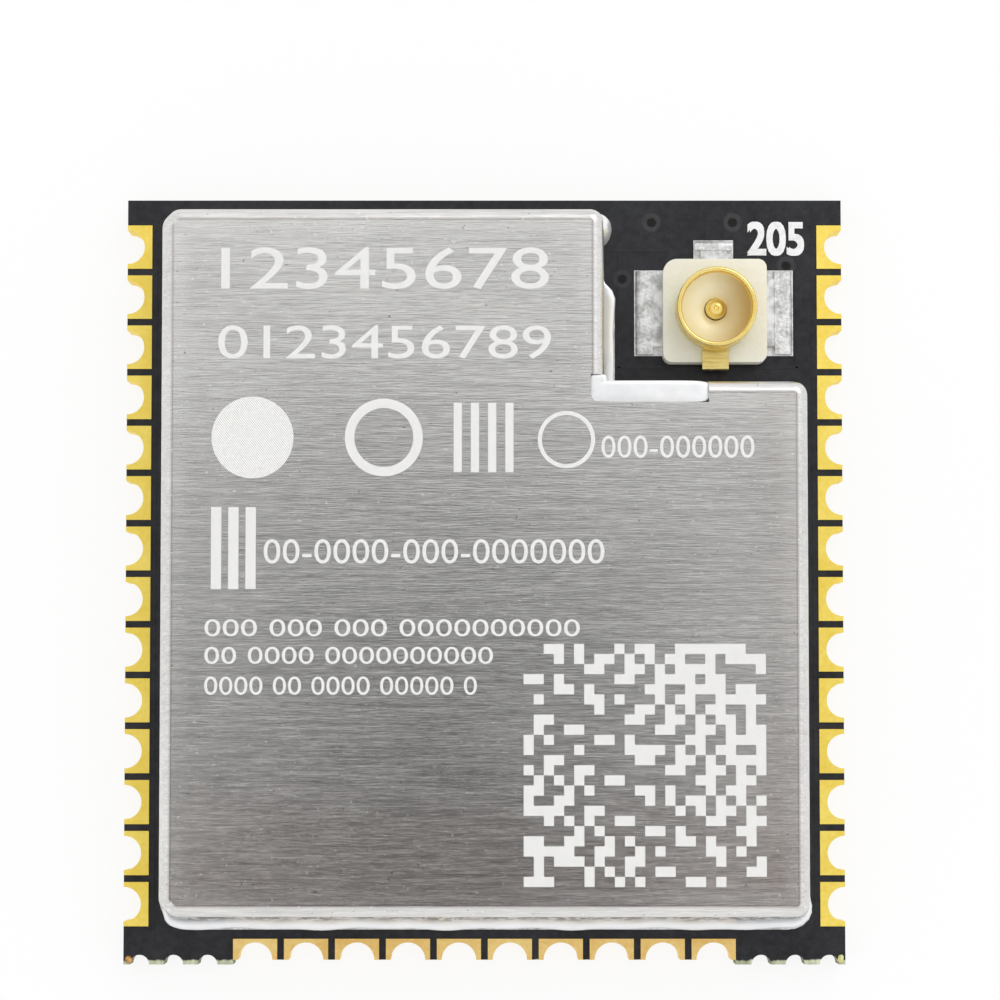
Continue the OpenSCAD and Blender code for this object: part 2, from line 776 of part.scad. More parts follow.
// Places what follows at the crystal's four corners, with the crystal on the side of -X and -Y
module at_crystal_corners() {
    for (i = [-1, 1], j = [-1, 1])
        translate([crystal_x + i * crystal_l / 2, crystal_y + j * crystal_w / 2, 0])
            mirror([i < 0 ? 1 : 0, 0, 0]) mirror([0, j < 0 ? 1 : 0, 0]) children();
}

module crystal_pads() {
    color("gold")
        at_crystal_corners()
            translate([-crystal_pad_l, -crystal_pad_w, seat_z])
                difference() {
                    cube([crystal_pad_l, crystal_pad_w, crystal_pad_t]);
                    translate([crystal_pad_l, crystal_pad_w, -over]) cylinder(r = corner_cut, h = 2 * over);
                }
}

module crystal_base() {
    color([0.5, 0.45, 0.38])
        difference() {
            translate([crystal_x - crystal_l / 2, crystal_y - crystal_w / 2, seat_z + crystal_pad_t])
                cube([crystal_l, crystal_w, crystal_h - crystal_pad_t]);
            at_crystal_corners() cylinder(r = corner_cut, h = can_top);
        }
}

module crystal_lid() {
    lid_x = crystal_l - 2 * crystal_rim;
    lid_y = crystal_w - 2 * crystal_rim;
    color([0.75, 0.75, 0.72])
        translate([crystal_x - lid_x / 2, crystal_y - lid_y / 2, seat_z + crystal_h])
            cube([lid_x, lid_y, crystal_lid_t]);
}

module at_spots(spots, z = seat_z) {
    for (spot = spots)
        translate([spot[0], spot[1], z]) rotate(spot[2]) children();
}

// The ceramic of a small part, which its metal ends wrap
module chip_core(high) {
    long = chip_part_l - 2 * end_t;
    wide = chip_part_w - 2 * end_t;
    translate([-long / 2, -wide / 2, end_t]) cube([long, wide, high - 2 * end_t]);
}

module chip_ends(high) {
    difference() {
        for (side = [0, 180])
            rotate(side)
                translate([chip_part_l / 2 - end_l, -chip_part_w / 2, 0]) cube([end_l, chip_part_w, high]);
        chip_core(high);
    }
}

module capacitor_bodies() {
    color([0.72, 0.6, 0.45]) at_spots(capacitor_spots) chip_core(capacitor_h);
}

module capacitor_ends() {
    color([0.82, 0.82, 0.8]) at_spots(capacitor_spots) chip_ends(capacitor_h);
}

module inductor_bodies() {
    color([0.75, 0.8, 0.85]) at_spots(inductor_spots) chip_core(inductor_h);
}

module inductor_ends() {
    color([0.82, 0.82, 0.8]) at_spots(inductor_spots) chip_ends(inductor_h);
}

module resistor_bodies() {
    color([0.92, 0.92, 0.9]) at_spots(resistor_spots) chip_core(resistor_h);
}

module resistor_ends() {
    color([0.82, 0.82, 0.8]) at_spots(resistor_spots) chip_ends(resistor_h);
}

// The black resistive film under its glaze, between the ends
module resistor_films() {
    long = chip_part_l - 2 * end_l;
    wide = chip_part_w - 2 * end_t;
    color([0.1, 0.1, 0.12])
        at_spots(resistor_spots)
            translate([-long / 2, -wide / 2, resistor_h - end_t]) cube([long, wide, end_t]);
}

// Lands under every part inside the can
module component_lands() {
    land_extra = 0.1;
    toe = 0.2;
    color([0.85, 0.7, 0.35])
        translate([0, 0, deck_z]) {
            translate([chip_x, chip_y, 0]) {
                count = floor((chip_w - 2 * terminal_l - terminal_w) / terminal_pitch) + 1;
                for (side = [0:90:270], k = [0:count - 1])
                    rotate(side)
                        translate([(k - (count - 1) / 2) * terminal_pitch - terminal_w / 2,
                            chip_w / 2 - terminal_l, 0])
                            cube([terminal_w, terminal_l + toe, copper_t]);
                translate([-paddle_w / 2, -paddle_w / 2, 0]) cube([paddle_w, paddle_w, copper_t]);
            }
            at_leads()
                translate([-lead_w / 2 - land_extra, flash_span / 2 - 0.8, 0])
                    cube([lead_w + 2 * land_extra, 0.8 + toe, copper_t]);
            at_crystal_corners()
                translate([-crystal_pad_l, -crystal_pad_w, 0])
                    cube([crystal_pad_l + land_extra, crystal_pad_w + land_extra, copper_t]);
            at_spots(concat(capacitor_spots, resistor_spots, inductor_spots), 0)
                for (side = [0, 180])
                    rotate(side)
                        translate([chip_part_l / 2 - end_l, -chip_part_w / 2, 0])
                            cube([end_l + toe / 2, chip_part_w, copper_t]);
        }
}

circuit_board();
left_pads();
right_pads();
bottom_pads();
ground_pad();
shield_land();
component_lands();
connector_lands();
shield_can();
shield_solder();
connector_housing();
connector_shell();
connector_pin();
connector_solder();
main_chip_body();
main_chip_terminals();
flash_body();
flash_leads();
crystal_base();
crystal_lid();
crystal_pads();
capacitor_bodies();
capacitor_ends();
resistor_bodies();
resistor_films();
resistor_ends();
inductor_bodies();
inductor_ends();
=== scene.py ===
import math
import random

import bmesh
import bpy
from mathutils import Matrix, Vector


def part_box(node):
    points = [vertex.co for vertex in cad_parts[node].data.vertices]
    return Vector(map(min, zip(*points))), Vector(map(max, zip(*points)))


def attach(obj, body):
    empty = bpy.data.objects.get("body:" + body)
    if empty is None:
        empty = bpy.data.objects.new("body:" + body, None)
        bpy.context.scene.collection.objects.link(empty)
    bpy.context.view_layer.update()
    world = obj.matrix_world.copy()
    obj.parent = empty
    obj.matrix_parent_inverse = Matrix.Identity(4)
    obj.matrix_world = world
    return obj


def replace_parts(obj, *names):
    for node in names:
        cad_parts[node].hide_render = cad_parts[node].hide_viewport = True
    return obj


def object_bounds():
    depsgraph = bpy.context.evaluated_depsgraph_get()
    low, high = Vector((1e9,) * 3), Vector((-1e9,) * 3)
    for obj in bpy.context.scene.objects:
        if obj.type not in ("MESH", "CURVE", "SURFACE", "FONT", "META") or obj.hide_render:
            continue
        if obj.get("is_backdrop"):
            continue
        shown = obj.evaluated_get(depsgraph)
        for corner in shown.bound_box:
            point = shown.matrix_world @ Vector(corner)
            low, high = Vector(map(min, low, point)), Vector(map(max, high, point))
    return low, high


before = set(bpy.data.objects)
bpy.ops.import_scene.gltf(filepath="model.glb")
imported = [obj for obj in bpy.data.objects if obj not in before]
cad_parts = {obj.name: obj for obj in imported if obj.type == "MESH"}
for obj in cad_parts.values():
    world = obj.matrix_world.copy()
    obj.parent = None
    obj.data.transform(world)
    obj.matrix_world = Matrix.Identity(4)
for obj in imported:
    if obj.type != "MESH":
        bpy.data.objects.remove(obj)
cad_low, cad_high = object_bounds()

# Circuit board: glass-fibre laminate under black solder mask, drilled, routed to its outline and then
# snapped out of its panel, so the lower corners keep half break-off holes with torn fibre between them.


class Signal:
    """A shader socket. Sums on it add Math nodes, so a finish reads as an expression."""

    def __init__(self, tree, socket):
        self.tree, self.socket = tree, socket

    def node(self, kind, settings=None, inputs=None, out=0):
        made = self.tree.nodes.new("ShaderNode" + kind)
        for name, value in (settings or {}).items():
            setattr(made, name, value)
        for name, value in (inputs or {}).items():
            if isinstance(value, Signal):
                self.tree.links.new(value.socket, made.inputs[name])
            else:
                made.inputs[name].default_value = value
        return Signal(self.tree, made.outputs[out])

    def sum(self, operation, *values):
        return self.node("Math", {"operation": operation}, dict(enumerate(values)))

    def __add__(self, other): return self.sum("ADD", self, other)
    def __radd__(self, other): return self.sum("ADD", other, self)
    def __sub__(self, other): return self.sum("SUBTRACT", self, other)
    def __rsub__(self, other): return self.sum("SUBTRACT", other, self)
    def __mul__(self, other): return self.sum("MULTIPLY", self, other)
    def __rmul__(self, other): return self.sum("MULTIPLY", other, self)

    def rise(self, low, high):
        """0 below low and 1 above high, with a soft step between."""
        return self.node("MapRange", {"interpolation_type": "SMOOTHSTEP"}, {0: self, 1: low, 2: high})

    def axis(self, name):
        return self.node("SeparateXYZ", None, {0: self}, name)

    def stretched(self, x, y, z):
        return self.node("VectorMath", {"operation": "MULTIPLY"}, {0: self, 1: (x, y, z)})

    def noise(self, scale, detail=3.0, roughness=0.6):
        return self.node("TexNoise", None, {"Vector": self, "Scale": scale, "Detail": detail,
                                            "Roughness": roughness})

    def inside(self, x0, y0, x1, y1):
        """How far this place lies inside a box seen from above, and negative outside it."""
        x, y = self.axis("X"), self.axis("Y")
        across = self.sum("MINIMUM", x - x0, x1 - x)
        along = self.sum("MINIMUM", y - y0, y1 - y)
        return self.sum("MINIMUM", across, along)

    def from_axis(self, x, y):
        """Distance from an upright line."""
        dx, dy = self.axis("X") - x, self.axis("Y") - y
        return self.sum("SQRT", dx * dx + dy * dy)

    def mix(self, first, second):
        """The first colour where this is 0 and the second where it is 1."""
        pair = [(*c, 1) if isinstance(c, tuple) else c for c in (first, second)]
        return self.node("Mix", {"data_type": "RGBA"}, {0: self, 6: pair[0], 7: pair[1]}, 2)


class Finish:
    """A material in the making: constants sit on the shader's own sockets, patterns are linked to them."""

    def __init__(self, name, **constants):
        self.material = bpy.data.materials.new(name)
        self.material.use_nodes = True
        self.tree = self.material.node_tree
        self.shader = self.tree.nodes["Principled BSDF"]
        self.at = Signal(self.tree, self.tree.nodes.new("ShaderNodeTexCoord").outputs["Object"])
        self.facing = Signal(self.tree, self.tree.nodes.new("ShaderNodeNewGeometry").outputs["Normal"])
        self.set(constants)

    def set(self, sockets):
        for name, value in sockets.items():
            socket = self.shader.inputs[name.replace("_", " ")]
            if isinstance(value, Signal):
                self.tree.links.new(value.socket, socket)
            else:
                socket.default_value = value

    def bump(self, height, depth):
        """Height from 0 to 1 over a depth in metres."""
        self.set({"Normal": self.at.node("Bump", None, {"Height": height, "Distance": depth, "Strength": 1.0})})


def dress(node, finish):
    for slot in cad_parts[node].material_slots:
        slot.material = finish.material


mm = 0.001
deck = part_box("circuit_board")[1].z / mm
socket_low, socket_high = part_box("connector_housing")
socket_x, socket_y = (socket_low.x + socket_high.x) / 2 / mm, (socket_low.y + socket_high.y) / 2 / mm
drills = ((-1.56, 2.31), (0.49, 2.31), (1.84, 1.21), (-2.3, 0.87))
drill_r, collar_r, collar_edge = 0.1, 0.2, 0.27
cloth_waves = 12500.0
break_depth = 0.16
mask = Finish("black_solder_mask", Specular_IOR_Level=0.3)
speckle = mask.at.noise(5200, 4)
cloud = mask.at.noise(420, 3)
weave = (mask.at.axis("X").sum("SINE", mask.at.axis("X") * cloth_waves)
         + mask.at.axis("Y").sum("SINE", mask.at.axis("Y") * cloth_waves))
flat = mask.facing.axis("Z").sum("ABSOLUTE", mask.facing.axis("Z")).rise(0.05, 0.3)
ragged = mask.at.stretched(1, 0.4, 1).noise(3800, 4)
masked = (mask.at.axis("Y") - cad_low.y - ragged * break_depth * mm).rise(0.0, 0.05 * mm)
plies = mask.at.stretched(1, 1, 9).noise(2600, 3)
laminate = plies.rise(0.3, 0.75).mix((0.16, 0.14, 0.075), (0.42, 0.40, 0.25))
broken = ragged.rise(0.3, 0.7).mix((0.34, 0.36, 0.22), (0.74, 0.78, 0.58))
black = (speckle * 0.5 + cloud * 0.5).rise(0.3, 0.75).mix((0.010, 0.010, 0.012), (0.030, 0.031, 0.036))
hole, *others = [mask.at.from_axis((socket_x + x) * mm, (socket_y + y) * mm) for x, y in drills]
for other in others:
    hole = hole.sum("MINIMUM", hole, other)
collar_and_highlight = 1 - hole.rise(collar_r * mm, collar_edge * mm)
collar_and_highlight = hole.rise((drill_r + 0.01) * mm, (drill_r + 0.05) * mm) * collar_and_highlight
# Painted highlight and painted shade at the tented vias: the lighter ring over each raised collar is a painted
# highlight, and the near-black disc at each drill is painted shade in its dimple.
black = (collar_and_highlight * ragged * 0.7).mix(black, (0.075, 0.075, 0.08))
black = (1 - hole.rise((drill_r - 0.02) * mm, (drill_r + 0.02) * mm)).mix(black, (0.002, 0.002, 0.002))
mask.set({"Base Color": flat.mix(laminate, masked.mix(broken, black)),
          "Roughness": 0.25 + speckle * 0.2 + (1 - flat * masked) * 0.3})
mask.bump(speckle * 0.45 + cloud * 0.4 + weave * 0.03 + collar_and_highlight * 0.12, 0.012 * mm)
dress("circuit_board", mask)

# Copper routed under the solder mask: the feed line and the ground pour round the aerial receptacle stand a
# little proud of the bare laminate, so the black mask over them carries soft raised edges.


def new_piece(name, mesh_maker, finish, smooth=False):
    """A bmesh piece on the root body, made by a function that fills the bmesh."""
    shape = bmesh.new()
    mesh_maker(shape)
    bmesh.ops.recalc_face_normals(shape, faces=shape.faces)
    for face in shape.faces:
        face.smooth = smooth
    mesh = bpy.data.meshes.new(name)
    shape.to_mesh(mesh)
    shape.free()
    mesh.materials.append(finish.material)
    piece = bpy.data.objects.new(name, mesh)
    bpy.context.collection.objects.link(piece)
    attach(piece, "root")
    return piece


def slab(shape, x0, y0, x1, y1, low, high):
    """A closed block between two corners, in millimetres."""
    size = Matrix.Diagonal(((x1 - x0) * mm, (y1 - y0) * mm, (high - low) * mm, 1))
    move = Matrix.Translation(Vector(((x0 + x1) / 2, (y0 + y1) / 2, (low + high) / 2)) * mm)
    bmesh.ops.create_cube(shape, size=1, matrix=move @ size)


def trace_strips(shape):
    sunk, proud, side_rail, rail_width = 0.01, 0.014, 8.24, 0.05
    round_socket = [(-0.22, 1.86, 0.22, 2.55), (-2.55, 1.55, -1.2, 1.63), (1.05, 1.2, 1.13, 2.6),
                    (-2.45, -1.42, 2.35, -1.34), (2.05, -1.4, 2.13, 1.9), (-2.42, -1.4, -2.34, 1.5)]
    strips = [(socket_x + x0, socket_y + y0, socket_x + x1, socket_y + y1) for x0, y0, x1, y1 in round_socket]
    strips += [(side_rail, -9.1, side_rail + rail_width, 9.5), (-side_rail - rail_width, -9.1, -side_rail, 9.5)]
    for x0, y0, x1, y1 in strips:
        slab(shape, x0, y0, x1, y1, deck - sunk, deck + proud)
    bmesh.ops.bevel(shape, geom=shape.edges[:], offset=0.01 * mm, affect="EDGES", segments=2, profile=0.5,
                    material=-1)


new_piece("masked_traces", trace_strips, mask)

# Edge pads: copper lands and drilled half holes, plated with nickel and immersion gold, cut through their
# middles when the board was routed. The gold is satin; the lower row is a little rougher and a darker, more
# orange gold.
gold = Finish("immersion_gold", Metallic=1.0)
grain = gold.at.noise(9000, 3)
blotch = gold.at.noise(900, 3)
tone = (grain * 0.45 + blotch * 0.55).rise(0.3, 0.72)
gold.set({"Base Color": tone.mix((0.88, 0.66, 0.11), (0.97, 0.80, 0.20)), "Roughness": 0.44 + grain * 0.24})
gold.bump(grain * 0.6 + blotch * 0.4, 0.008 * mm)
for name in ("left_pads", "right_pads", "ground_pad", "component_lands", "crystal_pads"):
    dress(name, gold)
# The lower row's gold: darker, more orange and a little rougher than the side rows.
lower_row_gold = Finish("immersion_gold_lower_row", Metallic=1.0)
grain = lower_row_gold.at.noise(9000, 3)
blotch = lower_row_gold.at.stretched(1, 2.5, 1).noise(700, 3)
tone = (grain * 0.4 + blotch * 0.6).rise(0.3, 0.72)
lower_row_gold.set({"Base Color": tone.mix((0.84, 0.54, 0.17), (0.96, 0.76, 0.32)),
               "Roughness": 0.46 + grain * 0.24})
lower_row_gold.bump(grain * 0.6 + blotch * 0.4, 0.008 * mm)
dress("bottom_pads", lower_row_gold)

# Burrs: where the board was snapped out of its panel, the router and the break left a curl of copper at one
# lower corner and a crumb of yellow resin at the other, pressed against the last nub.
chance = random.Random(11)


def crumb(shape, x, y, z, across, along, high):
    """A rough lump round a point, in millimetres, with knobs that stand out of it all round."""
    core, knob_count, knob_edge = 0.82, 16, 0.75
    knobs = [(Vector([chance.gauss(0, 1) for _ in range(3)]).normalized(), chance.uniform(0.04, 0.3))
             for _ in range(knob_count)]
    for v in bmesh.ops.create_icosphere(shape, subdivisions=4, radius=1)["verts"]:
        v.co *= core + sum(size * max(0.0, v.co.normalized().dot(knob) - knob_edge) for knob, size in knobs)
        v.co = Vector((x + v.co.x * across, y + v.co.y * along, z + v.co.z * high)) * mm


for name, place, dark, light, metallic in (
        ("copper_burr", (-8.87, -9.46, 0.78, 0.11, 0.12, 0.16), (0.45, 0.2, 0.05), (0.9, 0.55, 0.2), 0.8),
        ("resin_burr", (8.88, -9.45, 0.76, 0.1, 0.13, 0.17), (0.5, 0.48, 0.12), (0.85, 0.84, 0.4), 0.0)):
    burr = Finish(name, Metallic=metallic)
    rough = burr.at.noise(6500, 4)
    burr.set({"Base Color": rough.rise(0.3, 0.7).mix(dark, light), "Roughness": 0.35 + rough * 0.3})
    burr.bump(rough, 0.02 * mm)
    new_piece(name, lambda shape: crumb(shape, *place), burr, smooth=True)

# Screening can: nickel-silver strip, 0.2 mm thick and brushed along the board's width, cut to an L and folded
# down on every side. It is soldered to its land all round.
can_low, can_high = (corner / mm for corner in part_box("shield_can"))
notch_width, notch_length = 4.97, 4.25
notch_x, notch_y = can_high.x - notch_width, can_high.y - notch_length
low, high, bend = can_low * mm, can_high * mm, 0.28 * mm
sheet = Finish("brushed_nickel_silver", Metallic=1.0)
fine = sheet.at.stretched(0.06, 1, 1).noise(30000, 3, 0.65)
coarse = sheet.at.stretched(0.05, 1, 1).noise(9000, 3, 0.6)
patch = sheet.at.stretched(0.6, 1, 1).noise(260, 3)
brushing = fine * 0.6 + coarse * 0.4
arm = sheet.at.inside(low.x + bend, low.y + bend, notch_x * mm - bend, high.y - bend)
foot = sheet.at.inside(low.x + bend, low.y + bend, high.x - bend, notch_y * mm - bend)
inner = arm.sum("MAXIMUM", arm, foot)
flat = sheet.facing.axis("Z").rise(0.985, 0.998)
bend_shade_line = flat * (1 - inner.rise(0.01 * mm, 0.05 * mm))
edge_highlight = flat * (1 - inner.rise(0.1 * mm, 0.55 * mm))
# Painted shade: towards the lower wall and the right side, the lid's flat top is mixed into a darker, pinker
# copy of its colour.
shade_towards_foot = 1 - sheet.at.axis("Y").rise(-8.4 * mm, -2.5 * mm)
shade_towards_side = sheet.at.axis("X").rise(5.2 * mm, 8.2 * mm)
painted_shade = shade_towards_foot * 0.7 + shade_towards_side * 0.35
tone = (brushing * 0.8 + patch * 0.2).rise(0.28, 0.74)
bright = tone.mix((0.56, 0.555, 0.545), (0.90, 0.89, 0.87))
shaded_steel_colour = tone.mix((0.42, 0.365, 0.34), (0.76, 0.68, 0.65))
steel = (painted_shade * flat).mix(bright, shaded_steel_colour)
# Painted highlight: a paler band along the lid's flat top next to its bends.
steel = (edge_highlight * 0.35).mix(steel, (0.86, 0.85, 0.83))
# Painted shade: a thin dark line where the flat lid starts to bend down.
steel = (bend_shade_line * 0.5).mix(steel, (0.36, 0.31, 0.30))
speck = sheet.at.noise(11000, 2)
steel = (speck.rise(0.67, 0.71) * 0.8).mix(steel, (0.95, 0.95, 0.94))
steel = ((1 - speck.rise(0.255, 0.285)) * 0.8).mix(steel, (0.12, 0.11, 0.10))
sheet.set({"Base Color": steel, "Roughness": 0.12 + brushing * 0.16 + (1 - flat) * 0.12})
sheet.bump(brushing, 0.004 * mm)
dress("shield_can", sheet)

# Laser marks on the lid: the laser leaves a frosted white finish on the nickel silver, hatched at a slant.
# They are plain numbers, bars and shapes.
frost = Finish("laser_frosted_metal")
hatch_slant, hatch_waves = 0.8, 112000.0
across_hatch = frost.at.axis("X") + frost.at.axis("Y") * hatch_slant
lines = across_hatch.sum("SINE", across_hatch * hatch_waves) * 0.5 + 0.5
scatter = frost.at.noise(14000, 3)
tone = (lines * 0.55 + scatter * 0.45).rise(0.15, 0.6)
frost.set({"Base Color": tone.mix((0.50, 0.49, 0.48), (0.95, 0.945, 0.93)), "Roughness": 0.5 + scatter * 0.3})
frost.bump(lines * 0.5 + scatter * 0.5, 0.006 * mm)


def figures(shape, text, x0, y0, x1, y1, base, top):
    """Plain figures as a thin closed mesh that fills a box, in millimetres."""
    curve = bpy.data.curves.new("figures", "FONT")
    curve.body, curve.size, curve.extrude, curve.resolution_u = text, 1, 0.5, 4
    loose = bpy.data.objects.new("figures", curve)
    bpy.context.collection.objects.link(loose)
    graph = bpy.context.evaluated_depsgraph_get()
    mesh = bpy.data.meshes.new_from_object(loose.evaluated_get(graph))
    bpy.data.objects.remove(loose)
    count = len(shape.verts)
    shape.from_mesh(mesh)
    bpy.data.meshes.remove(mesh)
    shape.verts.ensure_lookup_table()
    made = shape.verts[count:]
    left, right = min(v.co.x for v in made), max(v.co.x for v in made)
    foot, head = min(v.co.y for v in made), max(v.co.y for v in made)
    wide, tall = (x1 - x0) / (right - left), (y1 - y0) / (head - foot)
    for v in made:
        x, y = x0 + (v.co.x - left) * wide, y0 + (v.co.y - foot) * tall
        v.co = Vector((x, y, top if v.co.z > 0 else base)) * mm


def engraving(shape):
    base, top = can_high.z - 0.002, can_high.z + 0.002
    rows = [("12345678", -6.43, 6.99, 1.58, 8.02), ("0123456789", -6.5, 5.28, 1.63, 6.1),
            ("000-000000", 2.85, 2.85, 6.58, 3.4), ("00-0000-000-0000000", -5.37, 0.27, 2.92, 0.87),
            ("000 000 000 0000000000", -6.8, -1.5, 2.32, -1.08),
            ("00 0000 0000000000", -6.8, -2.17, 0.21, -1.75),
            ("0000 00 0000 00000 0", -6.8, -2.92, -0.18, -2.47)]
    for row in rows:
        figures(shape, *row, base, top)
    # A disc and two rings
    for x, y, outer_r, inner_r in ((-5.65, 3.35, 1.0, 0.0), (-2.45, 3.35, 0.95, 0.72), (2.0, 3.3, 0.7, 0.6)):
        centre = Matrix.Translation(Vector((x, y, top)) * mm)
        ends = bmesh.ops.create_circle(shape, cap_ends=inner_r == 0, radius=outer_r * mm, segments=64,
                                       matrix=centre)["verts"]
        if inner_r:
            ends += bmesh.ops.create_circle(shape, radius=inner_r * mm, segments=64, matrix=centre)["verts"]
            bmesh.ops.bridge_loops(shape, edges=list(dict.fromkeys(e for v in ends for e in v.link_edges)))
    # Two groups of bars
    bar_pitch = 0.42
    for count, x, wide, y0, y1 in ((4, -0.75, 0.2, 2.5, 4.2), (3, -6.65, 0.25, -0.35, 1.65)):
        for k in range(count):
            slab(shape, x + bar_pitch * k, y0, x + bar_pitch * k + wide, y1, base, top)
    # A field of small squares, set out by a plain rule
    field_x, field_y, cell, cells = 0.95, -7.56, 0.245, 24
    for i in range(cells):
        for j in range(cells):
            if (i * i * 3 + j * j * 5 + i * j * 7 + i // 3 + j // 4) % 11 < 5:
                x, y = field_x + i * cell, field_y + j * cell
                slab(shape, x, y, x + cell, y + cell, base, top)


new_piece("laser_marks", engraving, frost)

# Solder: the can's fillets, the filled relief slot and the blob at its upper inner corner, all reflowed and
# so smooth and rounded, with a slight grain from the way it froze.
copper = 0.035
seat = deck + copper
solder = Finish("reflowed_solder", Metallic=0.6)
freeze = solder.at.noise(2400, 3)
ripple = solder.at.noise(500, 2)
# Painted shade: dark rough streaks on the upper part of the fillet along the can's lower wall, in the gap under
# its bend.
gap_shade = solder.at.stretched(0.4, 1, 1).noise(11000, 4).rise(0.42, 0.56)
gap_shade = gap_shade * solder.at.axis("Z").rise((seat + 0.14) * mm, (seat + 0.34) * mm)
gap_shade = gap_shade * (1 - solder.at.axis("Y").rise(can_low.y * mm, (can_low.y + 0.02) * mm))
metal = (freeze * 0.5 + ripple * 0.5).rise(0.3, 0.7).mix((0.86, 0.87, 0.88), (0.95, 0.95, 0.96))
solder.set({"Base Color": (gap_shade * 0.68).mix(metal, (0.15, 0.14, 0.125)), "Roughness": 0.28 + freeze * 0.16})
solder.bump(freeze * 0.25 + ripple * 0.75, 0.035 * mm)


def ease(value, low, high):
    t = min(1.0, max(0.0, (value - low) / (high - low)))
    return t * t * (3 - 2 * t)


def wall_line():
    """Points along the can's outer face, anticlockwise, each with the way outwards there. The can's inner
    corner has no one way outwards, so it has None."""
    rim, clip, turn_steps, spacing = 0.33, 0.12, 6, 0.2
    left, right, base, top = can_low.x + rim, can_high.x - rim, can_low.y + rim, can_high.y - rim
    turns = [(left + clip, base, -135, -90), (right, base, -90, 0), (right, notch_y - rim, 0, 90), None,
             (notch_x - rim, top, 0, 90), (left + clip, top, 90, 135), (left, top - clip, 135, 180),
             (left, base + clip, 180, 225)]
    corners = []
    for turn in turns:
        if turn is None:
            corners.append((notch_x, notch_y, None))
            continue
        x, y, start, end = turn
        for k in range(turn_steps + 1):
            angle = math.radians(start + (end - start) * k / turn_steps)
            out = Vector((math.cos(angle), math.sin(angle)))
            corners.append((x + rim * out.x, y + rim * out.y, out))
    line = []
    for (x0, y0, out0), (x1, y1, out1) in zip(corners, corners[1:] + corners[:1]):
        steps = max(1, round(math.dist((x0, y0), (x1, y1)) / spacing))
        between = out0 if out1 is None else out1
        for k in range(steps):
            t = k / steps
            line.append((x0 + (x1 - x0) * t, y0 + (y1 - y0) * t, between if k else out0))
    return line


def beside_socket(x, y):
    return abs(x - notch_x) < 0.01 and y > notch_y


def fillet_width(x, y):
    """Wide under the lower wall and beside the receptacle, and narrow elsewhere."""
    narrow, wide, socket_side, faded = 0.2, 0.42, 0.34, 0.03
    if beside_socket(x, y):
        return socket_side - (socket_side - faded) * ease(y, notch_y + 2.4, notch_y + 2.9)
    return narrow + (wide - narrow) * (1 - ease(y, can_low.y, can_low.y + 0.42))


def lump(shape, x, y, z, across, along, high, square, round_plan):
    """A closed lump between a ball and a block, in millimetres."""
    for v in bmesh.ops.create_icosphere(shape, subdivisions=5, radius=1)["verts"]:
        if round_plan:
            plan = math.hypot(v.co.x, v.co.y) ** square
        else:
            plan = abs(v.co.x) ** square + abs(v.co.y) ** square
        v.co *= (plan + abs(v.co.z) ** square) ** (-1 / square)
        v.co = Vector((x + v.co.x * across, y + v.co.y * along, z + v.co.z * high)) * mm


def skin(shape, loops):
    """Faces between a closed row of closed loops, all with as many vertices."""
    for one, two in zip(loops, loops[1:] + loops[:1]):
        for k in range(len(one)):
            after = (k + 1) % len(one)
            shape.faces.new((one[k], one[after], two[after], two[k]))


def fillets(shape):
    toe, hollow, face_steps = 0.025, 1.9, 8
    loops = []
    for place, (x, y, out) in enumerate(wall_line()):
        wave = 1 + 0.05 * math.sin(place * 0.37) + 0.04 * math.sin(place * 0.83 + 1)
        if out is None:
            reach, tall = Vector((0.34, 0.2)), 0.3
        else:
            width = fillet_width(x, y) * wave
            reach, tall = out * width, (0.75 if beside_socket(x, y) else 1.4) * width
        section = [(k / face_steps, toe + tall * (1 - k / face_steps) ** hollow) for k in range(face_steps + 1)]
        section += [(1, 0), (0, 0)]
        loops.append([shape.verts.new(Vector((x + reach.x * u, y + reach.y * u, seat + z)) * mm)
                      for u, z in section])
    skin(shape, loops)
    # The blob at the arm's corner, and the slot's filling in two lengths round the inner corner
    lump(shape, notch_x - 0.2, can_high.y - 0.38, 1.93, 0.42, 0.37, 1.1, 3.1, True)
    filling_z = can_high.z - 0.2
    lump(shape, notch_x + 1.1, notch_y - 0.265, filling_z, 1.46, 0.275, 0.15, 7.0, False)
    lump(shape, notch_x - 0.14, notch_y - 0.08, filling_z, 0.2, 0.24, 0.14, 7.0, False)


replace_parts(new_piece("reflowed_fillets", fillets, solder, smooth=True), "shield_solder")
tinned = Finish("tinned_land", Metallic=0.8)
freeze = tinned.at.noise(3000, 4)
dull = tinned.at.noise(12000, 3)
tone = (freeze * 0.7 + dull * 0.3).rise(0.32, 0.66)
tinned.set({"Base Color": tone.mix((0.44, 0.44, 0.43), (0.86, 0.86, 0.86)), "Roughness": 0.34 + freeze * 0.25})
tinned.bump(freeze * 0.6 + dull * 0.4, 0.03 * mm)
for name in ("connector_solder", "connector_lands"):
    dress(name, tinned)


def tinned_strip(shape):
    under_wall, past_fillet = 0.25, 0.01
    loops = []
    for x, y, out in wall_line():
        reach = Vector((0.35, 0.21)) if out is None else out * (fillet_width(x, y) + past_fillet)
        back = Vector((-under_wall, -under_wall)) if out is None else out * -under_wall
        loops.append([shape.verts.new(Vector((x + way.x, y + way.y, z)) * mm)
                      for way, z in ((back, deck), (reach, deck), (reach, seat), (back, seat))])
    skin(shape, loops)


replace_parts(new_piece("tinned_strip", tinned_strip, tinned), "shield_land")

